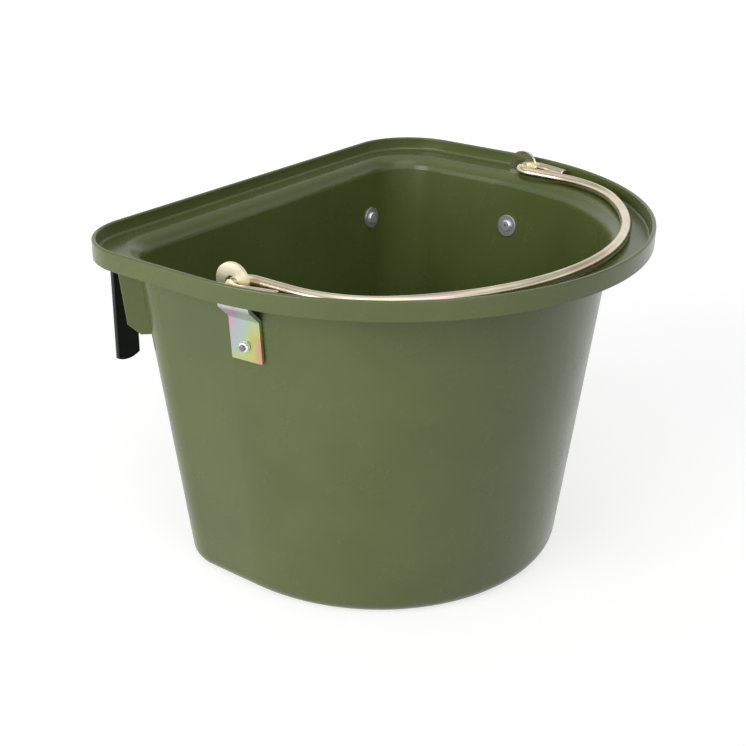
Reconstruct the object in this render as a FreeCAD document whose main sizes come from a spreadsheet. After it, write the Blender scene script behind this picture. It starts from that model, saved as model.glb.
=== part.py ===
import FreeCAD, Part
import math
import os
import Sketcher

# A flat-backed feed bucket for a horse: a moulded shell with a lipped rim, a swinging
# steel bail handle held by two riveted strip brackets, and two coated steel hooks that
# hang the bucket on a rail or a stable door.
#
# Inside each sub-part's own drawing +Y points to the flat back, -Y to the round front,
# +Z up, and the middle of the front half-circle at floor level is (0, 0, 0). The finished
# sub-parts are then set so that the row's origin is on the floor in the middle of the
# whole bucket, hooks included.

# ------------------------------------------------------------------ driving dimensions (mm, degrees)
DIMENSIONS = [
    ("rim_half_width", 195, "half of the width over the lip, and the radius of its round front"),
    ("rim_back", 122.5, "flat back of the lip"),
    ("rim_corner", 52, "back corners of the lip, outside"),
    ("bucket_height", 256.2, "floor to the top of the lip"),
    ("ledge_drop", 10.2, "top of the lip down to the ledge"),
    ("wall", 2.8, "thickness of the walls and the ledge"),
    ("lip_wall", 3.0, "thickness of the upright lip"),
    ("lip_round", 1.1, "edges of the lip"),
    ("ledge_round", 2.0, "inside corner between ledge and lip"),
    ("shoulder_round", 11, "ledge rounding over into the inside of the wall"),
    ("side_overhang", 28.3, "lip beyond the front and side walls, under the ledge"),
    ("back_overhang", 21.8, "lip beyond the back wall, under the ledge"),
    ("wall_corner", 34.5, "back corners of the walls, outside"),
    ("side_draft", 5.7, "taper of the front and side walls"),
    ("back_draft", 5, "taper of the back wall"),
    ("bottom_round", 12.4, "outside round between walls and floor"),
    ("floor_wall", 3.8, "thickness of the floor over the foot"),
    ("foot_width", 9, "width of the flat foot that runs round the base"),
    ("foot_height", 1.2, "recess inside the foot"),
    ("gate_radius", 4, "moulding gate mark under the base"),
    ("gate_height", 0.5, "how far the gate mark stands out"),
    ("gusset_angle", 45, "direction of the corner gussets"),
    ("gusset_reach", 48.5, "corner centre to the gusset's outer edge, at the ledge"),
    ("gusset_draft", 6.3, "taper of the gusset's outer edge"),
    ("gusset_drop", 60.7, "ledge underside down to the gusset's lower edge"),
    ("gusset_chamfer", 8, "cut lower corner of the gusset"),
    ("gusset_wall", 3, "thickness of the gusset"),
    ("gusset_round", 0.8, "rounded edges of the gusset"),
    ("pivot_back", -17, "bail pivot axis, along Y"),
    ("rod_diameter", 8, "bail rod"),
    ("leg_inset", 29.7, "outside of the lip to the bail legs, centre line"),
    ("bend_radius", 9.8, "turn of the rod through its bracket, centre line"),
    ("tab_offset", 1.2, "bracket's upright part outside the middle of the rod's turn"),
    ("bail_inset", 23, "outside of the lip to the bail's front, centre line"),
    ("bail_corner", 85, "bail corners, centre line"),
    ("bail_flatness", 5, "bail front curve, centre line, is flatter than the lip by this radius"),
    ("tail_length", 37, "pivot axis to the free end of the rod"),
    ("tail_lean", 16, "free end of the rod leans in towards its leg"),
    ("rod_chamfer", 0.6, "broken edge of the rod's cut ends"),
    ("rest_gap", 0.4, "bail above the ledge as it lies on it"),
    ("pivot_hole", 10.7, "hole of the bracket that the rod turns in"),
    ("strip_width", 24, "bracket strip"),
    ("strip_thickness", 2.4, "bracket strip"),
    ("strip_bend", 4, "bends of the bracket, centre line"),
    ("strip_below", 11.2, "bracket's lower end below its rivet"),
    ("foot_bend_drop", 19.3, "ledge underside down to the bend where the bracket leaves the wall"),
    ("knee_drop", 9.2, "ledge underside down to the bracket's upper bend"),
    ("tab_above", 13.7, "bracket's rounded top above the pivot"),
    ("tab_flat", 0.6, "flat left across the very top of the bracket"),
    ("strip_corner", 0.8, "lower corners of the bracket"),
    ("slot_clearance", 0.8, "slot in the ledge round the bracket"),
    ("bracket_rivet_drop", 38.5, "ledge underside down to the bracket rivets"),
    ("shank_diameter", 4.8, "blind rivet shank"),
    ("hole_clearance", 0.1, "rivet holes, on the radius"),
    ("flange_diameter", 9.5, "blind rivet flange"),
    ("flange_height", 1.7, "blind rivet flange"),
    ("flange_round", 1.2, "dome of the flange"),
    ("bulb_diameter", 7.5, "set end of the blind rivet"),
    ("bulb_height", 3.6, "set end of the blind rivet"),
    ("bulb_round", 1.3, "rounds of the set end"),
    ("mandrel_bore", 2.7, "bore of the blind rivet"),
    ("mandrel_slack", 0.05, "mandrel in its bore, on the radius"),
    ("mandrel_recess", 1.8, "broken mandrel below the flange"),
    ("mandrel_head", 4.4, "mandrel head at the set end, diameter"),
    ("mandrel_head_height", 1.4, "mandrel head at the set end"),
    ("mandrel_head_round", 0.6, "mandrel head at the set end"),
    ("washer_diameter", 17.5, "bracket rivet washer"),
    ("hook_washer_diameter", 17.5, "hook rivet washer"),
    ("washer_thickness", 1.3, "washers under the rivet flanges"),
    ("washer_round", 0.35, "rounded rim of the washers"),
    ("hook_corner_gap", 4.25, "hook washer to the start of the wall's round corner, under the ledge"),
    ("hook_width", 22.5, "coated hook strap"),
    ("hook_thickness", 3.6, "coated hook strap"),
    ("hook_edge", 1.4, "rounded edges of the coated strap"),
    ("hook_throat", 43, "wall under the ledge to the inside of the hook"),
    ("hook_bend", 8, "bends of the hook, centre line"),
    ("hook_gap", 0.6, "hook below the ledge"),
    ("hook_drop", 105.7, "ledge underside down to the hook's lower end"),
    ("hook_end_radius", 24, "curved lower end of the hook"),
    ("hook_rivet_drop", 43.2, "ledge underside down to the hook rivets"),
    ("hook_below", 15, "inner hook leg below its rivet"),
]

doc = FreeCAD.newDocument("feed_bucket")
dims = doc.addObject("Spreadsheet::Sheet", "dims")
for row, (alias, value, note) in enumerate(DIMENSIONS, 1):
    dims.set(f"A{row}", alias)
    dims.set(f"B{row}", str(value))
    dims.set(f"C{row}", note)
    dims.setAlias(f"B{row}", alias)
doc.recompute()

# ------------------------------------------------------------------ heights and widths worked out from them
LEDGE_TOP = "(dims.bucket_height - dims.ledge_drop)"
LEDGE_UNDER = f"({LEDGE_TOP} - dims.wall)"
SIDE_SKIN = "(dims.wall / cos(dims.side_draft))"
BACK_SKIN = "(dims.wall / cos(dims.back_draft))"
WALL_HALF_WIDTH = "(dims.rim_half_width - dims.side_overhang)"
WALL_BACK = "(dims.rim_back - dims.back_overhang)"
HOOK_INSIDE = f"({WALL_BACK} + dims.hook_throat)"
HOOK_OUTSIDE = f"({HOOK_INSIDE} + dims.hook_thickness)"
MIDDLE_SHIFT = f"((dims.rim_half_width - {HOOK_OUTSIDE}) / 2)"
BRACKET_RIVET_HEIGHT = f"({LEDGE_UNDER} - dims.bracket_rivet_drop)"
HOOK_RIVET_HEIGHT = f"({LEDGE_UNDER} - dims.hook_rivet_drop)"
HOOK_HALF_SPACING = (f"({WALL_HALF_WIDTH} - dims.wall_corner - dims.hook_washer_diameter / 2"
                     " - dims.hook_corner_gap)")
PIVOT_HEIGHT = f"({LEDGE_TOP} + dims.rod_diameter / 2 + dims.rest_gap)"
LEG_HALF_SPAN = "(dims.rim_half_width - dims.leg_inset)"
TURN_SPAN = f"({LEG_HALF_SPAN} + dims.bend_radius)"
TAB_PLANE = f"({TURN_SPAN} + dims.tab_offset)"
BAIL_REACH = "(dims.rim_half_width - dims.bail_inset + dims.pivot_back)"
BAIL_FRONT = "(dims.rim_half_width + dims.bail_flatness)"
TAIL_DROP = "(dims.tail_length - dims.bend_radius * (1 + sin(dims.tail_lean)))"
TAIL_SPAN = f"({TURN_SPAN} + dims.bend_radius * cos(dims.tail_lean) - {TAIL_DROP} * tan(dims.tail_lean))"
BRACKET_TURN = f"(atan(-dims.pivot_back / {TAB_PLANE}) / 1 deg)"       # to face along the front's radius
EYE_RADIUS = f"({TAB_PLANE} / cos({BRACKET_TURN}))"
SHANK_HOLE = "(dims.shank_diameter / 2 + dims.hole_clearance)"
LEVEL = 0.01          # how near an edge has to be to a height to count as lying at it
OVERCUT = 5           # how far a cut runs past the material it goes through


def side_out(height):
    """Outside of a side wall, or radius of the round front, at a height."""
    return f"({WALL_HALF_WIDTH} - ({LEDGE_UNDER} - {height}) * tan(dims.side_draft))"


def back_out(height):
    """Outside of the back wall at a height."""
    return f"({WALL_BACK} - ({LEDGE_UNDER} - {height}) * tan(dims.back_draft))"


def number(expression):
    """The value of an expression over the sheet's cells."""
    return float(dims.evalExpression(str(expression)))


# ------------------------------------------------------------------ drawing helpers
def new_body(name, placement):
    """A body whose placement follows the sheet."""
    body = doc.addObject("PartDesign::Body", name)
    body.Label = name
    body.setExpression("Placement", placement)
    return body


def new_sketch(body, role, name, offset=None):
    """A sketch on one of the body's own origin planes, moved off it by an expression."""
    plane = next(item for item in body.Origin.OriginFeatures if item.Role == role)
    sketch = body.newObject("Sketcher::SketchObject", name)
    sketch.AttachmentSupport = [(plane, "")]
    sketch.MapMode = "FlatFace"
    if offset:
        sketch.setExpression("AttachmentOffset", offset)
    return sketch


def rule(sketch, kind, *where, size=None):
    """Add one constraint, with its size bound to an expression."""
    if size is None:
        return sketch.addConstraint(Sketcher.Constraint(kind, *where))
    index = sketch.addConstraint(Sketcher.Constraint(kind, *where, number(size)))
    sketch.setExpression(f"Constraints[{index}]", str(size))
    return index


def pin_point(sketch, geometry, end, across, up):
    """Hold one end of a piece of geometry at (across, up) from the sketch's origin."""
    rule(sketch, "DistanceX", -1, 1, geometry, end, size=across)
    rule(sketch, "DistanceY", -1, 1, geometry, end, size=up)


def line(start, end):
    return Part.LineSegment(FreeCAD.Vector(*start, 0), FreeCAD.Vector(*end, 0))


def arc(centre, radius, start, end):
    circle = Part.Circle(FreeCAD.Vector(*centre, 0), FreeCAD.Vector(0, 0, 1), radius)
    return Part.ArcOfCircle(circle, math.radians(start), math.radians(end))


def polygon(sketch, corners):
    """A closed outline of straight sides; each corner is a pair of expressions."""
    places = [(number(across), number(up)) for across, up in corners]
    count = len(places)
    sides = [sketch.addGeometry(line(places[i], places[(i + 1) % count])) for i in range(count)]
    for i in range(count):
        rule(sketch, "Coincident", sides[i], 2, sides[(i + 1) % count], 1)
        pin_point(sketch, sides[i], 1, *corners[i])


def circle(sketch, radius, across=0, up=0):
    """A full circle about (across, up)."""
    middle = FreeCAD.Vector(number(across), number(up), 0)
    ring = sketch.addGeometry(Part.Circle(middle, FreeCAD.Vector(0, 0, 1), number(radius)))
    rule(sketch, "Radius", ring, size=radius)
    pin_point(sketch, ring, 3, across, up)


def d_outline(sketch, half_width, back, corner):
    """The bucket's plan: a half-circle front, straight sides and a flat back with round corners."""
    wide, rear, radius = number(half_width), number(back), number(corner)
    across, start = wide - radius, rear - radius
    front = sketch.addGeometry(arc((0, 0), wide, 180, 360))
    right = sketch.addGeometry(line((wide, 0), (wide, start)))
    right_corner = sketch.addGeometry(arc((across, start), radius, 0, 90))
    rear_side = sketch.addGeometry(line((across, rear), (-across, rear)))
    left_corner = sketch.addGeometry(arc((-across, start), radius, 90, 180))
    left = sketch.addGeometry(line((-wide, start), (-wide, 0)))
    loop = [front, right, right_corner, rear_side, left_corner, left]
    rule(sketch, "Coincident", front, 3, -1, 1)
    for one, following in zip(loop, loop[1:] + loop[:1]):
        rule(sketch, "Tangent", one, 2, following, 1)
    rule(sketch, "Vertical", right)
    rule(sketch, "Vertical", left)
    rule(sketch, "Horizontal", rear_side)
    rule(sketch, "Equal", right_corner, left_corner)
    rule(sketch, "Radius", front, size=half_width)
    rule(sketch, "Radius", right_corner, size=corner)
    rule(sketch, "DistanceY", -1, 1, rear_side, 1, size=back)


def round_box(sketch, width, height, corner):
    """A rectangle about the sketch's origin with rounded corners."""
    right, top, radius = number(width) / 2, number(height) / 2, number(corner)
    ends = [(1, 1), (-1, 1), (-1, -1), (1, -1)]
    corners = []
    for turn, (side, rise) in enumerate(ends):
        middle = (side * (right - radius), rise * (top - radius))
        corners.append(sketch.addGeometry(arc(middle, radius, 90 * turn, 90 * turn + 90)))
        pin_point(sketch, corners[-1], 3,
                  f"{side} * ({width} / 2 - {corner})", f"{rise} * ({height} / 2 - {corner})")
        rule(sketch, "Radius", corners[-1], size=corner)
    for turn, one in enumerate(corners):
        following = corners[(turn + 1) % len(corners)]
        begin = sketch.getPoint(one, 2)
        end = sketch.getPoint(following, 1)
        side = sketch.addGeometry(line((begin.x, begin.y), (end.x, end.y)))
        rule(sketch, "Tangent", one, 2, side, 1)
        rule(sketch, "Tangent", side, 2, following, 1)


def bent_path(sketch, corners, radius):
    """An open centre line through the corners, with the same bend radius at each inner one."""
    places = [FreeCAD.Vector(number(across), number(up), 0) for across, up in corners]
    bend = number(radius)
    cuts, centres = [], []
    for before, here, after in zip(places, places[1:], places[2:]):
        inward = (before - here).normalize()
        outward = (after - here).normalize()
        half = inward.getAngle(outward) / 2
        reach = bend / math.tan(half)
        cuts.append((here + inward * reach, here + outward * reach))
        centres.append(here + (inward + outward).normalize() * (bend / math.sin(half)))
    starts = [places[0]] + [cut[1] for cut in cuts]
    ends = [cut[0] for cut in cuts] + [places[-1]]
    runs = [sketch.addGeometry(Part.LineSegment(start, end)) for start, end in zip(starts, ends)]
    pin_point(sketch, runs[0], 1, *corners[0])
    pin_point(sketch, runs[-1], 2, *corners[-1])
    for i, (cut, centre) in enumerate(zip(cuts, centres)):
        corner = sketch.addGeometry(Part.Point(places[i + 1]), True)
        pin_point(sketch, corner, 1, *corners[i + 1])
        rule(sketch, "PointOnObject", corner, 1, runs[i])
        rule(sketch, "PointOnObject", corner, 1, runs[i + 1])
        start, end = cut[0] - centre, cut[1] - centre
        anticlockwise = (start.cross(end)).z > 0
        first, last = (start, end) if anticlockwise else (end, start)
        angles = [math.degrees(math.atan2(side.y, side.x)) for side in (first, last)]
        if angles[1] < angles[0]:
            angles[1] += 360
        turn = sketch.addGeometry(arc((centre.x, centre.y), bend, *angles))
        near, far = (1, 2) if anticlockwise else (2, 1)
        rule(sketch, "Tangent", runs[i], 2, turn, near)
        rule(sketch, "Tangent", turn, far, runs[i + 1], 1)
        rule(sketch, "Radius", turn, size=radius)


# ------------------------------------------------------------------ feature helpers
def add(body, kind, name, **settings):
    """Add a feature, set it up and bring the body up to date; text settings are expressions."""
    feature = body.newObject(f"PartDesign::{kind}", name)
    for key, value in settings.items():
        if isinstance(value, str) and key in EXPRESSION_KEYS:
            feature.setExpression(key, value)
        else:
            setattr(feature, key, value)
    doc.recompute()
    return feature


EXPRESSION_KEYS = ("Length", "Radius", "Size")


def edges_where(feature, test):
    """Names of the feature's edges that pass a test, as a Fillet or Chamfer takes them."""
    names = [f"Edge{i}" for i, edge in enumerate(feature.Shape.Edges, 1) if test(edge)]
    return (feature, names)


def edges_at(feature, height, inside_wall=None):
    """Edges that lie at a height, all of them or only those inside or outside the walls."""
    level = number(height)
    wide = number(side_out(height)) + LEVEL
    deep = number(back_out(height)) + LEVEL

    def lies_there(edge):
        box = edge.BoundBox
        if abs(box.ZMin - level) > LEVEL or abs(box.ZMax - level) > LEVEL:
            return False
        within = box.XMax < wide and box.XMin > -wide and box.YMax < deep
        return inside_wall is None or within == inside_wall

    return edges_where(feature, lies_there)


def mirror_last(body, name, originals):
    """Repeat features on the other side of the bucket's middle."""
    middle = next(item for item in body.Origin.OriginFeatures if item.Role == "YZ_Plane")
    mirrored = body.newObject("PartDesign::Mirrored", name)
    mirrored.Originals = originals
    mirrored.MirrorPlane = (middle, [""])
    body.Tip = mirrored
    doc.recompute()
    return mirrored


def wall_frame(yaw, draft, across, back, height):
    """Placement of hardware on a tapered wall: X out of the wall, Z up along it."""
    return (f"placement(vector({across}; {back} + {MIDDLE_SHIFT}; {height}); "
            f"rotation({yaw}; {draft}; 0))")


def on_wall(out, up, draft):
    """A step straight out and up from the rivet, as places along the tapered wall's own axes."""
    return (f"({out}) * cos({draft}) - ({up}) * sin({draft})",
            f"({out}) * sin({draft}) + ({up}) * cos({draft})")


# ------------------------------------------------------------------ the moulded shell
def make_shell():
    body = new_body("bucket_shell", f"placement(vector(0; {MIDDLE_SHIFT}; 0); rotation(0; 0; 0))")

    def plan(name, height, half_width, back, corner):
        sketch = new_sketch(body, "XY_Plane", name,
                            f"placement(vector(0; 0; {height}); rotation(0; 0; 0))")
        d_outline(sketch, half_width, back, corner)
        return sketch

    # tapered block that becomes the walls and the floor
    outer = [plan(name, height, side_out(height), back_out(height), "dims.wall_corner")
             for name, height in (("outside_at_floor", "0"), ("outside_at_ledge", LEDGE_UNDER))]
    add(body, "AdditiveLoft", "tapered_block", Profile=outer[0], Sections=[outer[1]], Ruled=True)
    add(body, "Fillet", "bottom_edge", Base=edges_at(body.Tip, "0"), Radius="dims.bottom_round")

    # ledge and lip round the top
    rim = plan("rim_outside", LEDGE_UNDER, "dims.rim_half_width", "dims.rim_back", "dims.rim_corner")
    add(body, "Pad", "rim", Profile=rim, Length=f"dims.bucket_height - {LEDGE_UNDER}")
    lip = plan("lip_inside", "dims.bucket_height", "dims.rim_half_width - dims.lip_wall",
               "dims.rim_back - dims.lip_wall", "dims.rim_corner - dims.lip_wall")
    add(body, "Pocket", "above_ledge", Profile=lip, Length="dims.ledge_drop")

    # outside shoulder under the ledge, then the hollow and its rounds
    add(body, "Fillet", "outside_shoulder", Base=edges_at(body.Tip, LEDGE_UNDER, True),
        Radius="dims.shoulder_round - dims.wall")
    inner = [plan(name, height, f"{side_out(height)} - {SIDE_SKIN}", f"{back_out(height)} - {BACK_SKIN}",
                  "dims.wall_corner - dims.wall")
             for name, height in (("inside_at_floor", "dims.floor_wall"),
                                  ("inside_at_lip", "dims.bucket_height"))]
    add(body, "SubtractiveLoft", "hollow", Profile=inner[0], Sections=[inner[1]], Ruled=True)
    add(body, "Fillet", "inside_bottom", Base=edges_at(body.Tip, "dims.floor_wall"),
        Radius="dims.bottom_round - dims.wall")
    add(body, "Fillet", "inside_shoulder", Base=edges_at(body.Tip, LEDGE_TOP, True),
        Radius="dims.shoulder_round")
    add(body, "Fillet", "ledge_corner", Base=edges_at(body.Tip, LEDGE_TOP, False),
        Radius="dims.ledge_round")
    add(body, "Fillet", "lip_edges", Base=edges_at(body.Tip, "dims.bucket_height"),
        Radius="dims.lip_round")

    # shallow recess inside the foot, with the moulding gate in its middle
    foot = "(dims.bottom_round + dims.foot_width)"
    recess = plan("foot_inside", "0", f"{side_out('0')} - {foot}", f"{back_out('0')} - {foot}",
                  "dims.wall_corner - dims.foot_width")
    add(body, "Pocket", "foot_recess", Profile=recess, Length="dims.foot_height", Reversed=True)
    gate = new_sketch(body, "XY_Plane", "gate_outline",
                      "placement(vector(0; 0; dims.foot_height); rotation(0; 0; 0))")
    circle(gate, "dims.gate_radius")
    add(body, "Pad", "gate_mark", Profile=gate, Length="dims.gate_height", Reversed=True)

    # diagonal gussets that hold up the overhanging back corners of the rim
    centre_across = f"({WALL_HALF_WIDTH} - dims.wall_corner)"
    centre_back = f"({WALL_BACK} - dims.wall_corner)"
    gusset = new_sketch(body, "XZ_Plane", "gusset_outline",
                        f"placement(vector({centre_across}; 0; -{centre_back}); "
                        "rotation(0; dims.gusset_angle; 0))")
    bottom = f"({LEDGE_UNDER} - dims.gusset_drop)"
    root = "(dims.wall_corner - dims.wall / 2)"
    # the root steps outwards under the ledge, so that it stays inside the rounded shoulder
    shoulder_root = (f"({root} + dims.shoulder_round - sqrt(dims.shoulder_round ^ 2"
                     " - (dims.shoulder_round - dims.wall) ^ 2))")
    slope = ("(cos(dims.gusset_angle) * tan(dims.side_draft)"
             " + sin(dims.gusset_angle) * tan(dims.back_draft))")
    cut = "dims.gusset_chamfer"
    edge = "tan(dims.gusset_draft)"
    polygon(gusset, [
        (shoulder_root, LEDGE_UNDER),
        (f"{root} - dims.shoulder_round * {slope}", f"{LEDGE_UNDER} - dims.shoulder_round"),
        (f"{root} - dims.gusset_drop * {slope}", bottom),
        (f"dims.gusset_reach - dims.gusset_drop * {edge} - {cut}", bottom),
        (f"dims.gusset_reach - (dims.gusset_drop - {cut}) * {edge}", f"{bottom} + {cut}"),
        ("dims.gusset_reach", LEDGE_UNDER),
    ])
    pad = add(body, "Pad", "gusset", Profile=gusset, Length="dims.gusset_wall", Midplane=True)
    pair = mirror_last(body, "gusset_pair", [pad])
    turn, half = math.radians(number("dims.gusset_angle")), number("dims.gusset_wall") / 2

    def gusset_edge(edge):
        """A free edge of either gusset: straight, along a face of the plate, clear of the wall."""
        ends = [vertex.Point for vertex in edge.Vertexes]
        middle = edge.valueAt((edge.FirstParameter + edge.LastParameter) / 2)
        places = [(abs(place.x) - number(centre_across), place.y - number(centre_back))
                  for place in ends + [middle]]
        across = [abs(y * math.cos(turn) - x * math.sin(turn)) for x, y in places]
        out = places[-1][0] * math.cos(turn) + places[-1][1] * math.sin(turn)
        below = number(LEDGE_UNDER) - middle.z
        surface = number("dims.wall_corner") - below * number(slope)
        return (isinstance(edge.Curve, Part.Line) and below > LEVEL and out > surface + half
                and all(abs(place - half) < LEVEL for place in across))

    add(body, "Fillet", "gusset_edges", Base=edges_where(pair, gusset_edge), Radius="dims.gusset_round")

    # slots in the ledge that the brackets come up through
    for side, name in ((1, "right_slot"), (-1, "left_slot")):
        slot = new_sketch(body, "XY_Plane", name,
                          f"placement(vector({side} * {TAB_PLANE}; dims.pivot_back; {LEDGE_TOP}); "
                          f"rotation(-{side} * {BRACKET_TURN}; 0; 0))")
        long_side = "(dims.strip_width / 2 + dims.slot_clearance)"
        short_side = "(dims.strip_thickness / 2 + dims.slot_clearance)"
        polygon(slot, [(f"{x} * {short_side}", f"{y} * {long_side}")
                       for x, y in ((-1, -1), (1, -1), (1, 1), (-1, 1))])
        add(body, "Pocket", f"{name}_cut", Profile=slot, Length=f"dims.wall + {OVERCUT}")

    # rivet holes square to the tapered walls
    rivet_out = side_out(BRACKET_RIVET_HEIGHT)
    hole = new_sketch(body, "YZ_Plane", "bracket_rivet_hole",
                      f"placement(vector(-{rivet_out} * sin({BRACKET_TURN}); {BRACKET_RIVET_HEIGHT}; "
                      f"{rivet_out} * cos({BRACKET_TURN})); "
                      f"rotation(0; -{BRACKET_TURN}; dims.side_draft))")
    circle(hole, SHANK_HOLE)
    drilled = add(body, "Pocket", "bracket_rivet_drill", Profile=hole,
                  Length=f"2 * (dims.wall + {OVERCUT})", Midplane=True)
    mirror_last(body, "bracket_rivet_drill_pair", [drilled])
    rivet_back = back_out(HOOK_RIVET_HEIGHT)
    for side, name in ((1, "right_hook_rivet"), (-1, "left_hook_rivet")):
        hole = new_sketch(body, "XZ_Plane", f"{name}_hole",
                          f"placement(vector({side} * {HOOK_HALF_SPACING}; {HOOK_RIVET_HEIGHT};"
                          f" -{rivet_back}); rotation(0; 0; -dims.back_draft))")
        circle(hole, SHANK_HOLE)
        add(body, "Pocket", f"{name}_drill", Profile=hole,
            Length=f"2 * (dims.wall + {OVERCUT})", Midplane=True)
    return body


# ------------------------------------------------------------------ the bail handle
def make_handle():
    """Round rod: two hairpin ends through the brackets, straight legs and a curved front."""
    body = new_body("handle", f"placement(vector(0; dims.pivot_back + {MIDDLE_SHIFT}; {PIVOT_HEIGHT}); "
                              "rotation(0; 0; 0))")
    leg, bend = number(LEG_HALF_SPAN), number("dims.bend_radius")
    tail, tail_span = number("dims.tail_length"), number(TAIL_SPAN)
    reach, corner, front = number(BAIL_REACH), number("dims.bail_corner"), number(BAIL_FRONT)
    lean = number("dims.tail_lean")
    bend_end = leg + bend + bend * math.cos(math.radians(lean))
    bend_low = -bend - bend * math.sin(math.radians(lean))
    front_centre = front - reach
    corner_across = leg - corner
    corner_back = front_centre - math.sqrt((front - corner) ** 2 - corner_across ** 2)
    swing = math.degrees(math.atan2(front_centre - corner_back, corner_across))

    path = new_sketch(body, "XY_Plane", "rod_line")
    pieces = [
        (line((tail_span, -tail), (bend_end, bend_low)), 1, 2),
        (arc((leg + bend, -bend), bend, -lean, 180), 1, 2),
        (line((leg, -bend), (leg, corner_back)), 1, 2),
        (arc((corner_across, corner_back), corner, -swing, 0), 2, 1),
        (arc((0, front_centre), front, -180 + swing, -swing), 2, 1),
        (arc((-corner_across, corner_back), corner, -180, -180 + swing), 2, 1),
        (line((-leg, corner_back), (-leg, -bend)), 1, 2),
        (arc((-leg - bend, -bend), bend, 0, 180 + lean), 1, 2),
        (line((-bend_end, bend_low), (-tail_span, -tail)), 1, 2),
    ]
    rod = [path.addGeometry(shape) for shape, first, last in pieces]
    for one, following, (_, _, leaving), (_, arriving, _) in zip(rod, rod[1:], pieces, pieces[1:]):
        rule(path, "Tangent", one, leaving, following, arriving)
    right_tail, right_bend, right_leg, right_corner, bow, left_corner, left_leg, left_bend, left_tail = rod
    rule(path, "Vertical", right_leg)
    rule(path, "Vertical", left_leg)
    rule(path, "PointOnObject", bow, 3, -2)
    rule(path, "Equal", right_bend, left_bend)
    rule(path, "Equal", right_corner, left_corner)
    rule(path, "Radius", right_bend, size="dims.bend_radius")
    rule(path, "Radius", right_corner, size="dims.bail_corner")
    rule(path, "Radius", bow, size=BAIL_FRONT)
    rule(path, "DistanceY", -1, 1, bow, 3, size=f"{BAIL_FRONT} - {BAIL_REACH}")
    pin_point(path, right_bend, 3, TURN_SPAN, "-dims.bend_radius")
    pin_point(path, left_bend, 3, f"-{TURN_SPAN}", "-dims.bend_radius")
    pin_point(path, right_tail, 1, TAIL_SPAN, "-dims.tail_length")
    pin_point(path, left_tail, 2, f"-{TAIL_SPAN}", "-dims.tail_length")

    section = new_sketch(body, "XZ_Plane", "rod_section",
                         f"placement(vector({TAIL_SPAN}; 0; dims.tail_length); "
                         "rotation(0; -dims.tail_lean; 0))")
    circle(section, "dims.rod_diameter / 2")
    doc.recompute()
    add(body, "AdditivePipe", "rod", Profile=section, Spine=path)

    def cut_end(edge):
        middle = edge.BoundBox.Center
        return abs(middle.y + tail) < LEVEL and abs(abs(middle.x) - tail_span) < LEVEL

    add(body, "Chamfer", "rod_ends", Base=edges_where(body.Tip, cut_end), Size="dims.rod_chamfer")
    return body


# ------------------------------------------------------------------ strip brackets and hooks
def make_bracket(name, placement):
    """Bent strip: flat on the wall, out under the rim, then up through the ledge as the bail's eye."""
    body = new_body(name, placement)
    out = f"({EYE_RADIUS} - {side_out(BRACKET_RIVET_HEIGHT)})"
    pivot_up = f"({PIVOT_HEIGHT} - {BRACKET_RIVET_HEIGHT})"
    leaving_up = "((dims.bracket_rivet_drop - dims.foot_bend_drop) / cos(dims.side_draft))"
    knee_up = "(dims.bracket_rivet_drop - dims.knee_drop)"
    half = "dims.strip_thickness / 2"
    path = new_sketch(body, "XZ_Plane", "strip_line")
    bent_path(path, [
        (half, "-dims.strip_below"),
        (half, leaving_up),
        on_wall(out, knee_up, "dims.side_draft"),
        on_wall(out, f"{pivot_up} + dims.tab_above", "dims.side_draft"),
    ], "dims.strip_bend")
    section = new_sketch(body, "XY_Plane", "strip_section",
                         "placement(vector(0; 0; -dims.strip_below); rotation(0; 0; 0))")
    polygon(section, [(f"{x} * dims.strip_thickness", f"{y} * dims.strip_width / 2")
                      for x, y in ((0, -1), (1, -1), (1, 1), (0, 1))])
    doc.recompute()
    add(body, "AdditivePipe", "strip", Profile=section, Spine=path)

    # the rounded eye at the top, square to the upright part of the strip
    top_out, top_up = (number(place) for place in
                       on_wall(out, f"{pivot_up} + dims.tab_above", "dims.side_draft"))
    width, thickness = number("dims.strip_width"), number("dims.strip_thickness")
    low = -number("dims.strip_below")

    def end_corner(edge, up):
        box = edge.BoundBox
        across = abs(abs(box.YMin) - width / 2) < LEVEL and box.YLength < LEVEL
        return across and abs(edge.Length - thickness) < LEVEL and abs(box.Center.z - up) < thickness

    add(body, "Fillet", "round_top", Base=edges_where(body.Tip, lambda edge: end_corner(edge, top_up)),
        Radius="(dims.strip_width - dims.tab_flat) / 2")
    add(body, "Fillet", "lower_corners", Base=edges_where(body.Tip, lambda edge: end_corner(edge, low)),
        Radius="dims.strip_corner")
    eye_out, eye_up = on_wall(out, pivot_up, "dims.side_draft")
    eye = new_sketch(body, "YZ_Plane", "eye_outline",
                     f"placement(vector(0; {eye_up}; {eye_out}); rotation(0; 0; -dims.side_draft))")
    circle(eye, "dims.pivot_hole / 2")
    add(body, "Pocket", "eye", Profile=eye, Length=f"dims.strip_thickness + {OVERCUT}", Midplane=True)
    hole = new_sketch(body, "YZ_Plane", "rivet_hole_outline")
    circle(hole, SHANK_HOLE)
    add(body, "Pocket", "rivet_hole", Profile=hole, Length=f"2 * (dims.strip_thickness + {OVERCUT})",
        Midplane=True)
    return body


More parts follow.
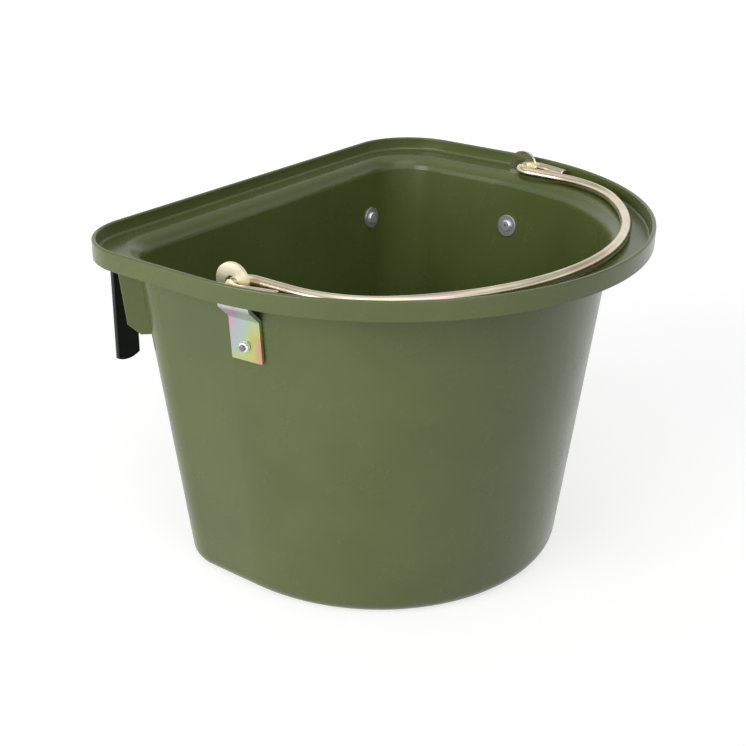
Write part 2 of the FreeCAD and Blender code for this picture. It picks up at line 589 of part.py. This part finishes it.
def make_hook(name, placement):
    """Coated strap: riveted to the back wall, out under the rim and down behind the rail."""
    body = new_body(name, placement)
    half = "dims.hook_thickness / 2"
    top_up = f"(dims.hook_rivet_drop - dims.hook_gap - {half})"
    out = f"({HOOK_INSIDE} + {half} - {back_out(HOOK_RIVET_HEIGHT)})"
    end_up = "(dims.hook_rivet_drop - dims.hook_drop)"
    bend_up = f"({top_up} + {half} * sin(dims.back_draft)) / cos(dims.back_draft)"
    path = new_sketch(body, "XZ_Plane", "strap_line")
    bent_path(path, [
        (half, "-dims.hook_below"),
        (half, bend_up),
        on_wall(out, top_up, "dims.back_draft"),
        on_wall(out, end_up, "dims.back_draft"),
    ], "dims.hook_bend")
    section = new_sketch(body, "XY_Plane", "strap_section",
                         f"placement(vector({half}; 0; -dims.hook_below); rotation(0; 0; 0))")
    round_box(section, "dims.hook_thickness", "dims.hook_width", "dims.hook_edge")
    doc.recompute()
    add(body, "AdditivePipe", "strap", Profile=section, Spine=path)

    # curved lower end, cut square through the hanging leg
    end_out, end_place = on_wall(out, end_up, "dims.back_draft")
    trim = new_sketch(body, "YZ_Plane", "end_trim",
                      f"placement(vector(0; {end_place}; {end_out}); rotation(0; 0; -dims.back_draft))")
    radius = number("dims.hook_end_radius")
    side = number("dims.hook_width") / 2 + OVERCUT
    rise = radius - math.sqrt(radius ** 2 - side ** 2)
    spread = math.degrees(math.asin(side / radius))
    bottom = trim.addGeometry(arc((0, radius), radius, 270 - spread, 270 + spread))
    walls = [trim.addGeometry(line(start, end)) for start, end in (
        ((side, rise), (side, -OVERCUT)), ((side, -OVERCUT), (-side, -OVERCUT)),
        ((-side, -OVERCUT), (-side, rise)))]
    loop = [(bottom, 2, 1)] + [(wall, 2, 1) for wall in walls]
    for (one, leaving, _), (following, _, arriving) in zip(loop, loop[1:] + loop[:1]):
        rule(trim, "Coincident", one, leaving, following, arriving)
    rule(trim, "Vertical", walls[0])
    rule(trim, "Horizontal", walls[1])
    rule(trim, "Vertical", walls[2])
    rule(trim, "Radius", bottom, size="dims.hook_end_radius")
    pin_point(trim, bottom, 3, "0", "dims.hook_end_radius")
    pin_point(trim, walls[0], 2, f"dims.hook_width / 2 + {OVERCUT}", f"-{OVERCUT}")
    rule(trim, "DistanceX", -1, 1, walls[1], 2, size=f"-(dims.hook_width / 2 + {OVERCUT})")
    add(body, "Pocket", "curved_end", Profile=trim, Length=f"dims.hook_thickness + {OVERCUT}",
        Midplane=True)
    hole = new_sketch(body, "YZ_Plane", "rivet_hole_outline")
    circle(hole, SHANK_HOLE)
    add(body, "Pocket", "rivet_hole", Profile=hole, Length=f"2 * (dims.hook_thickness + {OVERCUT})",
        Midplane=True)
    return body


# ------------------------------------------------------------------ washers and blind rivets
def turned(body, name, profile):
    """A part turned about the rivet's axis; the profile is (along the axis, radius) corners."""
    sketch = new_sketch(body, "XY_Plane", f"{name}_profile")
    polygon(sketch, profile)
    axis = next(item for item in body.Origin.OriginFeatures if item.Role == "X_Axis")
    return add(body, "Revolution", name, Profile=sketch, ReferenceAxis=(axis, [""]), Angle=360)


def ring_edges(feature, along, radius):
    """The round edge of a turned part at one place along its axis and one radius."""
    place, size = number(along), number(radius)

    def there(edge):
        box = edge.BoundBox
        return (box.XLength < LEVEL and abs(box.XMin - place) < LEVEL
                and abs(box.YMax - size) < LEVEL)

    return edges_where(feature, there)


def under_flange(seat):
    """Place of a rivet's flange along its axis, from the outside of the wall."""
    return f"({seat} - dims.washer_thickness)"


def flange_face(seat):
    return f"({under_flange(seat)} - dims.flange_height)"


def make_washer(name, placement, diameter, seat):
    body = new_body(name, placement)
    rim = f"{diameter} / 2"
    turned(body, "washer", [(under_flange(seat), SHANK_HOLE), (seat, SHANK_HOLE),
                            (seat, rim), (under_flange(seat), rim)])
    add(body, "Fillet", "rim_round", Base=ring_edges(body.Tip, under_flange(seat), rim),
        Radius="dims.washer_round")
    return body


def make_rivet(name, placement, clamped, seat):
    """Hollow blind rivet set from inside the bucket, with its bulb outside the clamped strip."""
    body = new_body(name, placement)
    face, under = flange_face(seat), under_flange(seat)
    bore, shank = "dims.mandrel_bore / 2", "dims.shank_diameter / 2"
    flange, bulb = "dims.flange_diameter / 2", "dims.bulb_diameter / 2"
    bulb_end = f"({clamped} + dims.bulb_height)"
    turned(body, "rivet", [(face, bore), (face, flange), (under, flange), (under, shank),
                           (clamped, shank), (clamped, bulb), (bulb_end, bulb), (bulb_end, bore)])
    add(body, "Fillet", "domed_flange", Base=ring_edges(body.Tip, face, flange),
        Radius="dims.flange_round")
    add(body, "Fillet", "bulb_outer", Base=ring_edges(body.Tip, bulb_end, bulb),
        Radius="dims.bulb_round")
    add(body, "Fillet", "bulb_inner", Base=ring_edges(body.Tip, clamped, bulb),
        Radius="dims.bulb_round / 2")
    return body


def make_mandrel(name, placement, clamped, seat):
    """What is left of the rivet's pulled pin: a broken stem and the head that formed the bulb."""
    body = new_body(name, placement)
    stem = "(dims.mandrel_bore / 2 - dims.mandrel_slack)"
    head = "dims.mandrel_head / 2"
    bulb_end = f"({clamped} + dims.bulb_height)"
    crown = f"({bulb_end} + dims.mandrel_head_height)"
    broken_end = f"{flange_face(seat)} + dims.mandrel_recess"
    turned(body, "mandrel", [(broken_end, 0), (crown, 0), (crown, head),
                             (bulb_end, head), (bulb_end, stem), (broken_end, stem)])
    add(body, "Fillet", "crown_round", Base=ring_edges(body.Tip, crown, head),
        Radius="dims.mandrel_head_round")
    return body


# ------------------------------------------------------------------ put the bucket together
def build():
    make_shell()
    make_handle()
    rivet_out = side_out(BRACKET_RIVET_HEIGHT)
    # a flat washer inside the curved wall touches it at its rim and stands off in its middle
    curve = f"(dims.washer_diameter ^ 2 / 8 / ({rivet_out} - 2 * {SIDE_SKIN}))"
    round_seat, flat_seat = f"(-dims.wall - {curve})", "(-dims.wall)"
    for side, word in ((1, "right"), (-1, "left")):
        yaw = f"{90 - 90 * side} - {side} * {BRACKET_TURN}"     # 0 faces right, 180 left, 90 back
        place = wall_frame(yaw, "dims.side_draft", f"{side} * {rivet_out} * cos({BRACKET_TURN})",
                           f"-{rivet_out} * sin({BRACKET_TURN})", BRACKET_RIVET_HEIGHT)
        make_bracket(f"handle_bracket_{word}", place)
        make_washer(f"bracket_washer_{word}", place, "dims.washer_diameter", round_seat)
        make_rivet(f"bracket_rivet_{word}", place, "dims.strip_thickness", round_seat)
        make_mandrel(f"bracket_rivet_mandrel_{word}", place, "dims.strip_thickness", round_seat)
        place = wall_frame("90", "dims.back_draft", f"{side} * {HOOK_HALF_SPACING}",
                           back_out(HOOK_RIVET_HEIGHT), HOOK_RIVET_HEIGHT)
        make_hook(f"hook_{word}", place)
        make_washer(f"hook_washer_{word}", place, "dims.hook_washer_diameter", flat_seat)
        make_rivet(f"hook_rivet_{word}", place, "dims.hook_thickness", flat_seat)
        make_mandrel(f"hook_rivet_mandrel_{word}", place, "dims.hook_thickness", flat_seat)
    doc.recompute()


def check_document():
    """Stop if any object failed or any sub-part is not one good solid."""
    for item in doc.Objects:
        if "Invalid" in item.State or "Error" in item.State:
            raise RuntimeError(f"{item.Name} failed: {item.State}")
    for body in sub_parts():
        if body.Shape.isNull() or not body.Shape.isValid() or len(body.Shape.Solids) != 1:
            raise RuntimeError(f"{body.Label} is not one valid solid")


def sub_parts():
    return [item for item in doc.Objects if item.TypeId == "PartDesign::Body"]


build()
check_document()
os.makedirs("parts", exist_ok=True)
for body in sub_parts():
    body.Shape.exportStep(os.path.join("parts", f"{body.Label}.step"))
    print(f"{body.Label}: {body.Shape.Volume:.0f} mm3")
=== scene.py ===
import math

import bpy
from mathutils import Matrix, Vector


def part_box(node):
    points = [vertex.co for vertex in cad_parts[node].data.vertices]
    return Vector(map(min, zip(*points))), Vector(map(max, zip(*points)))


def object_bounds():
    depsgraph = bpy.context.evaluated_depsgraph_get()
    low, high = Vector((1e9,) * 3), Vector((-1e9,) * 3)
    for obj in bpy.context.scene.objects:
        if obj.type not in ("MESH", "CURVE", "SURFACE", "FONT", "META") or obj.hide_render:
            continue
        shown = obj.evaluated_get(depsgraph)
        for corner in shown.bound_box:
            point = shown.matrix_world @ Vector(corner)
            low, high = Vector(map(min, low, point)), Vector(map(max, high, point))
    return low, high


# The looks of a flat-backed feed bucket: a moulded polypropylene shell, a bail handle of
# yellow-passivated steel rod in strip brackets, and two plastic-coated steel hooks. Every
# visible piece is a CAD solid: this script gives each one its material, and adds the floor,
# the lamps and the camera.

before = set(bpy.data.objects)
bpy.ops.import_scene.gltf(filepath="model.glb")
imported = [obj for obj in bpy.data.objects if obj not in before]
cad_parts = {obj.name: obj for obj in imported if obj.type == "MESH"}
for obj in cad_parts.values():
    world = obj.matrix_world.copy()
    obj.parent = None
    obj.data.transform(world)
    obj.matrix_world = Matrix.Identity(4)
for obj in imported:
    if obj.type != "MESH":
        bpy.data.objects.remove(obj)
cad_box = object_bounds()

MM = 0.001
SIDES = ("left", "right")
FIXINGS = ("bracket", "hook")


# ------------------------------------------------------------------ helpers
def colour(hex_code):
    """An sRGB hex colour as the linear RGBA that a shader takes."""
    parts = [int(hex_code[i:i + 2], 16) / 255 for i in (1, 3, 5)]
    linear = [c / 12.92 if c <= 0.04045 else ((c + 0.055) / 1.055) ** 2.4 for c in parts]
    return (*linear, 1.0)


def grey(value):
    """A level from 0 to 1 as a neutral RGBA, for roughness ramps, paper and light."""
    return (value, value, value, 1.0)


WHITE = grey(1.0)


def per(size_mm):
    """The scale at which a pattern repeats once in a size, for coordinates in metres."""
    return 1 / (size_mm * MM)


def add(tree, kind, sockets=None, stops=None, **settings):
    """Add one node with its settings and links.

    Each of the sockets takes a value, or the output that is linked to it. The stops are the
    places and colours of a colour ramp.
    """
    node = tree.nodes.new(kind)
    for key, value in settings.items():
        setattr(node, key, value)
    for key, value in (sockets or {}).items():
        if isinstance(value, bpy.types.NodeSocket):
            tree.links.new(value, node.inputs[key])
        else:
            node.inputs[key].default_value = value
    if stops:
        band = node.color_ramp
        while len(band.elements) < len(stops):
            band.elements.new(0.5)
        for element, (place, shade) in zip(band.elements, stops):
            element.position = place
            element.color = shade
    return node


def new_material(name):
    """An empty node material, with the place on the piece in metres."""
    material = bpy.data.materials.new(name)
    material.use_nodes = True
    tree = material.node_tree
    tree.nodes.clear()
    place = add(tree, "ShaderNodeTexCoord").outputs["Object"]
    return material, tree, place


# ------------------------------------------------------------------ materials
# Pattern sizes are in millimetres. A noise hardly ever leaves the range from NOISE_LOW to
# NOISE_HIGH, so a ramp laid across that range shows both of its ends.
NOISE_LOW, NOISE_HIGH = 0.3, 0.7


def moulded_polypropylene():
    """Olive polypropylene, injection moulded against polished steel.

    The eye sees a soft, slightly waxy gloss. The pigment drifts a little along the flow of
    the melt, hands have dulled the skin in patches, and it has a faint orange peel.
    """
    flow = 70  # drift of the pigment, a hand's width
    pigment_low, pigment_high = 0.35, 0.65  # narrower, so that both tones cover some area
    handling = 25  # dulled patches, a thumb wide
    peel = 2.4  # about 1 mm on a real moulding, which is too fine to show, so drawn coarser
    material, tree, place = new_material("moulded_polypropylene_olive")
    cloud = add(tree, "ShaderNodeTexNoise",
                {"Vector": place, "Scale": per(flow), "Detail": 3.0})
    pigment = add(tree, "ShaderNodeValToRGB", {"Fac": cloud.outputs["Fac"]},
                  stops=[(pigment_low, colour("#5A6635")), (pigment_high, colour("#616D3A"))])
    wear = add(tree, "ShaderNodeTexNoise",
               {"Vector": place, "Scale": per(handling), "Detail": 4.0, "Roughness": 0.6})
    sheen = add(tree, "ShaderNodeValToRGB", {"Fac": wear.outputs["Fac"]},
                stops=[(NOISE_LOW, grey(0.22)), (NOISE_HIGH, grey(0.29))])
    ripple = add(tree, "ShaderNodeTexNoise",
                 {"Vector": place, "Scale": per(peel), "Detail": 2.0})
    skin = add(tree, "ShaderNodeBump",
               {"Height": ripple.outputs["Fac"], "Strength": 0.12, "Distance": 0.1 * MM})
    shader = add(tree, "ShaderNodeBsdfPrincipled",
                 {"Base Color": pigment.outputs["Color"], "Roughness": sheen.outputs["Color"],
                  "IOR": 1.49, "Normal": skin.outputs["Normal"]})
    add(tree, "ShaderNodeOutputMaterial", {"Surface": shader.outputs["BSDF"]})
    return material


def yellow_passivated_zinc():
    """Cold-drawn steel rod, bent, then electroplated with zinc and passivated yellow.

    The eye sees a cream gold that mirrors softly, with a pink or brown bloom where the film
    is thicker.
    """
    thickening = 60  # drift of the film along the rod, some seven times its thickness
    haze_patch = 9  # duller patches, about the rod's thickness
    drawing = 1.6  # drawing marks, 0.1 to 0.2 mm on real rod, drawn coarser so that they show
    material, tree, place = new_material("yellow_passivated_zinc_rod")
    bloom = add(tree, "ShaderNodeTexNoise",
                {"Vector": place, "Scale": per(thickening), "Detail": 2.0, "Roughness": 0.5})
    tint = add(tree, "ShaderNodeValToRGB", {"Fac": bloom.outputs["Fac"]},
               stops=[(0.34, colour("#C9B3AC")), (0.46, colour("#DDD0B4")),
                      (0.58, colour("#E8DFC6")), (0.70, colour("#D3BFA8"))])
    film = add(tree, "ShaderNodeTexNoise",
               {"Vector": place, "Scale": per(haze_patch), "Detail": 4.0})
    haze = add(tree, "ShaderNodeValToRGB", {"Fac": film.outputs["Fac"]},
               stops=[(NOISE_LOW, grey(0.20)), (NOISE_HIGH, grey(0.28))])
    drawn = add(tree, "ShaderNodeTexNoise",
                {"Vector": place, "Scale": per(drawing), "Detail": 3.0})
    skin = add(tree, "ShaderNodeBump",
               {"Height": drawn.outputs["Fac"], "Strength": 0.15, "Distance": 0.05 * MM})
    shader = add(tree, "ShaderNodeBsdfPrincipled",
                 {"Base Color": tint.outputs["Color"], "Metallic": 1.0,
                  "Roughness": haze.outputs["Color"], "Normal": skin.outputs["Normal"]})
    add(tree, "ShaderNodeOutputMaterial", {"Surface": shader.outputs["BSDF"]})
    return material


def iridescent_zinc_strip(name, metallic, rough_low, rough_high):
    """Steel strip, punched and bent, then electroplated with zinc and passivated.

    The film is thickest where the bath ran off last, at the lower end of the strip. The
    eye sees cream on the round end at the top, and below it lilac, pink, grey, green and
    tan bands. The cream is partly the thin film's colour and partly a painted highlight:
    it is whitened to stand in for the light that falls on the round end. A milky finish
    is less metallic and rougher than a bright one.
    """
    band_run = 58  # drop and reach together of the length of strip that the bands cross
    band_first, band_last = -0.35, 0.65  # a noise around 0.5 is added, which makes 0.15 to 1.15
    waver = 20  # how the bands wander, nearly the strip's width
    bands_up_to, cream_from = 32, 16  # below the top of the eye, and blended in between
    haze_patch = 6  # duller patches, a quarter of the strip's width
    rolling = 1.2  # roll marks, about 0.1 mm on real strip, drawn coarser so that they show
    material, tree, place = new_material(name)
    low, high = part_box("handle_bracket_left")
    foot = -(low[1] + low[2])
    run = add(tree, "ShaderNodeVectorMath", {0: place, 1: (0.0, -1.0, -1.0)},
              operation="DOT_PRODUCT")
    depth = add(tree, "ShaderNodeMapRange",
                {"Value": run.outputs["Value"],
                 "From Min": foot - band_run * MM, "From Max": foot,
                 "To Min": band_first, "To Max": band_last})
    bloom = add(tree, "ShaderNodeTexNoise",
                {"Vector": place, "Scale": per(waver), "Detail": 2.0, "Roughness": 0.5})
    film_depth = add(tree, "ShaderNodeMath",
                     {0: depth.outputs["Result"], 1: bloom.outputs["Fac"]}, operation="ADD")
    bands = add(tree, "ShaderNodeValToRGB", {"Fac": film_depth.outputs["Value"]},
                stops=[(0.08, colour("#BDB9C6")), (0.20, colour("#C79DB0")),
                       (0.34, colour("#ADB5BA")), (0.58, colour("#ABBFA2")),
                       (0.80, colour("#BDC072")), (0.97, colour("#C7A080"))])
    top = high[2]
    height = add(tree, "ShaderNodeSeparateXYZ", {"Vector": place})
    # Painted highlight: the round end at the top is blended to a near-white cream, partly the
    # thin film's colour and partly whitened to stand in for the light that falls on it.
    cream_film_and_painted_highlight = add(tree, "ShaderNodeMapRange",
                  {"Value": height.outputs["Z"],
                   "From Min": top - bands_up_to * MM, "From Max": top - cream_from * MM})
    tint = add(tree, "ShaderNodeMix",
               {"Factor": cream_film_and_painted_highlight.outputs["Result"], "A": bands.outputs["Color"],
                "B": colour("#FFF8DC")}, data_type="RGBA")
    film = add(tree, "ShaderNodeTexNoise",
               {"Vector": place, "Scale": per(haze_patch), "Detail": 4.0})
    haze = add(tree, "ShaderNodeValToRGB", {"Fac": film.outputs["Fac"]},
               stops=[(NOISE_LOW, grey(rough_low)), (NOISE_HIGH, grey(rough_high))])
    rolled = add(tree, "ShaderNodeTexNoise",
                 {"Vector": place, "Scale": per(rolling), "Detail": 3.0})
    skin = add(tree, "ShaderNodeBump",
               {"Height": rolled.outputs["Fac"], "Strength": 0.2, "Distance": 0.05 * MM})
    shader = add(tree, "ShaderNodeBsdfPrincipled",
                 {"Base Color": tint.outputs["Result"], "Metallic": metallic,
                  "Roughness": haze.outputs["Color"], "Normal": skin.outputs["Normal"]})
    add(tree, "ShaderNodeOutputMaterial", {"Surface": shader.outputs["BSDF"]})
    return material


def fastener_metal(name, hex_low, hex_high, rough_low, rough_high):
    """Metal of a small fastener: zinc-plated steel, aluminium or plain steel.

    It is pressed or drawn and then tumbled. The eye sees an even tone under a thin dull
    film, with light handling marks.
    """
    tone_patch = 4  # about a quarter of a washer
    haze_patch = 1.5  # smears left by fingers and tools
    handling = 0.8  # scratches of 0.1 mm on real parts, drawn coarser so that they show
    material, tree, place = new_material(name)
    cloud = add(tree, "ShaderNodeTexNoise",
                {"Vector": place, "Scale": per(tone_patch), "Detail": 4.0})
    tint = add(tree, "ShaderNodeValToRGB", {"Fac": cloud.outputs["Fac"]},
               stops=[(NOISE_LOW, colour(hex_low)), (NOISE_HIGH, colour(hex_high))])
    film = add(tree, "ShaderNodeTexNoise",
               {"Vector": place, "Scale": per(haze_patch), "Detail": 4.0})
    haze = add(tree, "ShaderNodeValToRGB", {"Fac": film.outputs["Fac"]},
               stops=[(NOISE_LOW, grey(rough_low)), (NOISE_HIGH, grey(rough_high))])
    marks = add(tree, "ShaderNodeTexNoise",
                {"Vector": place, "Scale": per(handling), "Detail": 3.0})
    skin = add(tree, "ShaderNodeBump",
               {"Height": marks.outputs["Fac"], "Strength": 0.2, "Distance": 0.03 * MM})
    shader = add(tree, "ShaderNodeBsdfPrincipled",
                 {"Base Color": tint.outputs["Color"], "Metallic": 0.7,
                  "Roughness": haze.outputs["Color"], "Normal": skin.outputs["Normal"]})
    add(tree, "ShaderNodeOutputMaterial", {"Surface": shader.outputs["BSDF"]})
    return material


def black_plastic_coating():
    """Black PVC, on a steel strap that was heated and dipped in it.

    The eye sees a near black with a blurred gloss, and a skin that is a little uneven where
    the plastic ran before it set.
    """
    tone_patch = 20  # nearly the strap's width
    haze_patch = 8  # where hands and rails have rubbed it
    runs = 3  # unevenness of the dipped skin, about its own thickness
    material, tree, place = new_material("dipped_black_plastic")
    cloud = add(tree, "ShaderNodeTexNoise",
                {"Vector": place, "Scale": per(tone_patch), "Detail": 3.0})
    tint = add(tree, "ShaderNodeValToRGB", {"Fac": cloud.outputs["Fac"]},
               stops=[(NOISE_LOW, colour("#07080D")), (NOISE_HIGH, colour("#0E1017"))])
    film = add(tree, "ShaderNodeTexNoise",
               {"Vector": place, "Scale": per(haze_patch), "Detail": 4.0})
    haze = add(tree, "ShaderNodeValToRGB", {"Fac": film.outputs["Fac"]},
               stops=[(NOISE_LOW, grey(0.30)), (NOISE_HIGH, grey(0.42))])
    dip = add(tree, "ShaderNodeTexNoise",
              {"Vector": place, "Scale": per(runs), "Detail": 2.0})
    skin = add(tree, "ShaderNodeBump",
               {"Height": dip.outputs["Fac"], "Strength": 0.2, "Distance": 0.1 * MM})
    shader = add(tree, "ShaderNodeBsdfPrincipled",
                 {"Base Color": tint.outputs["Color"], "Roughness": haze.outputs["Color"],
                  "IOR": 1.52, "Normal": skin.outputs["Normal"]})
    add(tree, "ShaderNodeOutputMaterial", {"Surface": shader.outputs["BSDF"]})
    return material


def dress(material, *nodes):
    """Give CAD nodes a material, in every slot that they have."""
    for name in nodes:
        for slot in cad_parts[name].material_slots:
            slot.material = material


dress(moulded_polypropylene(), "bucket_shell")
dress(yellow_passivated_zinc(), "handle")
# The two brackets came out of the bath unlike: the left one is milky, the right one bright.
dress(iridescent_zinc_strip("iridescent_zinc_strip_milky", 0.7, 0.36, 0.46),
      "handle_bracket_left")
dress(iridescent_zinc_strip("iridescent_zinc_strip_bright", 1.0, 0.20, 0.28),
      "handle_bracket_right")
dress(black_plastic_coating(), *[f"hook_{side}" for side in SIDES])
dress(fastener_metal("bright_zinc_washer", "#B9BBCB", "#CFD0DC", 0.30, 0.40),
      *[f"{place}_washer_{side}" for place in FIXINGS for side in SIDES])
dress(fastener_metal("bright_aluminium_rivet", "#EDEDF4", "#F8F8FC", 0.22, 0.32),
      *[f"{place}_rivet_{side}" for place in FIXINGS for side in SIDES])
dress(fastener_metal("steel_mandrel", "#707078", "#8A8A92", 0.30, 0.45),
      *[f"{place}_rivet_mandrel_{side}" for place in FIXINGS for side in SIDES])


# ------------------------------------------------------------------ floor, light and camera
# Lengths are in metres, angles in degrees and lamp powers in watts.
FLOOR_SIZE = 12.0
FLOOR_TONE = 0.55  # grey paper, so that the lamps leave the object's shadow on it

# The glow that lifts the seen paper to white is weaker under the lamps, round the object.
GLOW_NEAR, GLOW_FAR = 0.68, 0.92
GLOW_NEAR_REACH, GLOW_FAR_REACH = 0.4, 2.2

WORLD_LEVEL = 0.20  # the plain level at which the world lights the object
SEEN_LEVEL = 1.0  # the level at which white is seen as white

# The world as it is seen, by the sine of the elevation: white up to 21 degrees, a dimmer
# band between 34 and 44, which models the metal, and a white ceiling from 55.
BACKDROP_TOP, BAND_FOOT, BAND_TOP, CEILING_FOOT = 0.36, 0.56, 0.70, 0.82
BAND_LEVEL = 0.45

LAMP_DISTANCE = 2.2
# Name, azimuth, elevation, width, power, and whether metal mirrors the lamp: a fill would
# show in it as a second window.
LAMPS = (
    ("window_left", -100, 15, 1.6, 31, True),
    ("window_front", -35, 44, 1.8, 12, True),
    ("skylight", -55, 74, 1.3, 4, True),
    ("fill_back", 168, 20, 1.6, 9, False),
    ("fill_right", 95, 15, 1.6, 6, False),
)

CAMERA_AZIMUTH = -51.57
CAMERA_ELEVATION = 24.28
CAMERA_ROLL = 0.11
CAMERA_DISTANCE = 0.9890
CAMERA_TARGET = Vector((-0.01141, 0.06729, 0.11214))
CAMERA_SENSOR, CAMERA_LENS = 36.0, 60.99  # mm, as a camera's data has them
CAMERA_SHIFT = (0.06836, 0.00483)
CAMERA_CLIP = (0.05, 50.0)


def outward(azimuth, elevation):
    """Unit vector from the object: azimuth 0 is towards its front, 90 towards its right."""
    turn, rise = math.radians(azimuth), math.radians(elevation)
    return Vector((math.sin(turn) * math.cos(rise), -math.cos(turn) * math.cos(rise),
                   math.sin(rise)))


def seen_directly(tree):
    """1 for what is seen straight, mirrored or through glass, 0 for light off dull surfaces."""
    rays = add(tree, "ShaderNodeLightPath").outputs
    seen = rays["Is Camera Ray"]
    for kind in ("Is Glossy Ray", "Is Transmission Ray"):
        seen = add(tree, "ShaderNodeMath", {0: seen, 1: rays[kind]},
                   operation="MAXIMUM").outputs["Value"]
    return seen


def lay_floor():
    """Paper that glows up to white where it is seen, and still darkens in the shadow."""
    bpy.ops.mesh.primitive_plane_add(size=FLOOR_SIZE)
    floor = bpy.context.object
    floor.name = "floor"
    material, tree, place = new_material("floor_paper")
    paper = add(tree, "ShaderNodeBsdfDiffuse", {"Color": grey(FLOOR_TONE)})
    away = add(tree, "ShaderNodeVectorMath", {0: place}, operation="LENGTH")
    rise = add(tree, "ShaderNodeMapRange",
               {"Value": away.outputs["Value"],
                "From Min": GLOW_NEAR_REACH, "From Max": GLOW_FAR_REACH,
                "To Min": GLOW_NEAR, "To Max": GLOW_FAR})
    lift = add(tree, "ShaderNodeMath",
               {0: seen_directly(tree), 1: rise.outputs["Result"]}, operation="MULTIPLY")
    glow = add(tree, "ShaderNodeEmission",
               {"Color": WHITE, "Strength": lift.outputs["Value"]})
    both = add(tree, "ShaderNodeAddShader",
               {0: paper.outputs["BSDF"], 1: glow.outputs["Emission"]})
    add(tree, "ShaderNodeOutputMaterial", {"Surface": both.outputs["Shader"]})
    floor.data.materials.append(material)


def light_world():
    """Backdrop, band and ceiling where the world is seen, one plain level where it lights."""
    world = bpy.data.worlds.new("studio")
    bpy.context.scene.world = world
    world.use_nodes = True
    tree = world.node_tree
    tree.nodes.clear()
    way = add(tree, "ShaderNodeTexCoord").outputs["Generated"]
    height = add(tree, "ShaderNodeSeparateXYZ", {"Vector": way})
    backdrop = add(tree, "ShaderNodeValToRGB", {"Fac": height.outputs["Z"]},
                   stops=[(BACKDROP_TOP, WHITE), (BAND_FOOT, grey(BAND_LEVEL)),
                          (BAND_TOP, grey(BAND_LEVEL)), (CEILING_FOOT, WHITE)])
    lit = add(tree, "ShaderNodeBackground", {"Color": WHITE, "Strength": WORLD_LEVEL})
    plain = add(tree, "ShaderNodeBackground",
                {"Color": backdrop.outputs["Color"], "Strength": SEEN_LEVEL})
    mix = add(tree, "ShaderNodeMixShader",
              {0: seen_directly(tree), 1: lit.outputs["Background"],
               2: plain.outputs["Background"]})
    add(tree, "ShaderNodeOutputWorld", {"Surface": mix.outputs["Shader"]})


def soft_box(name, azimuth, elevation, width, power, mirrored):
    """A square soft light that looks at the middle of the bucket."""
    data = bpy.data.lights.new(name, "AREA")
    data.shape = "SQUARE"
    data.size = width
    data.energy = power
    lamp = bpy.data.objects.new(name, data)
    bpy.context.scene.collection.objects.link(lamp)
    middle = (cad_box[0] + cad_box[1]) / 2
    back = outward(azimuth, elevation)
    lamp.location = middle + back * LAMP_DISTANCE
    lamp.rotation_mode = "QUATERNION"
    lamp.rotation_quaternion = back.to_track_quat("Z", "Y")
    lamp.visible_glossy = mirrored


def place_camera():
    """The camera, which looks down over the bucket's front left."""
    data = bpy.data.cameras.new("camera")
    data.sensor_width = CAMERA_SENSOR
    data.lens = CAMERA_LENS
    data.shift_x, data.shift_y = CAMERA_SHIFT
    data.clip_start, data.clip_end = CAMERA_CLIP
    camera = bpy.data.objects.new("camera", data)
    bpy.context.scene.collection.objects.link(camera)
    turn = math.radians(CAMERA_AZIMUTH)
    back = outward(CAMERA_AZIMUTH, CAMERA_ELEVATION)
    right = Vector((math.cos(turn), math.sin(turn), 0))
    up = back.cross(right)
    facing = Matrix((right, up, back)).transposed().to_4x4()
    roll = Matrix.Rotation(math.radians(CAMERA_ROLL), 4, "Z")
    spot = Matrix.Translation(CAMERA_TARGET + back * CAMERA_DISTANCE)
    camera.matrix_world = spot @ facing @ roll
    bpy.context.scene.camera = camera


lay_floor()
light_world()
for lamp in LAMPS:
    soft_box(*lamp)
place_camera()
bpy.context.scene.view_settings.view_transform = "Standard"
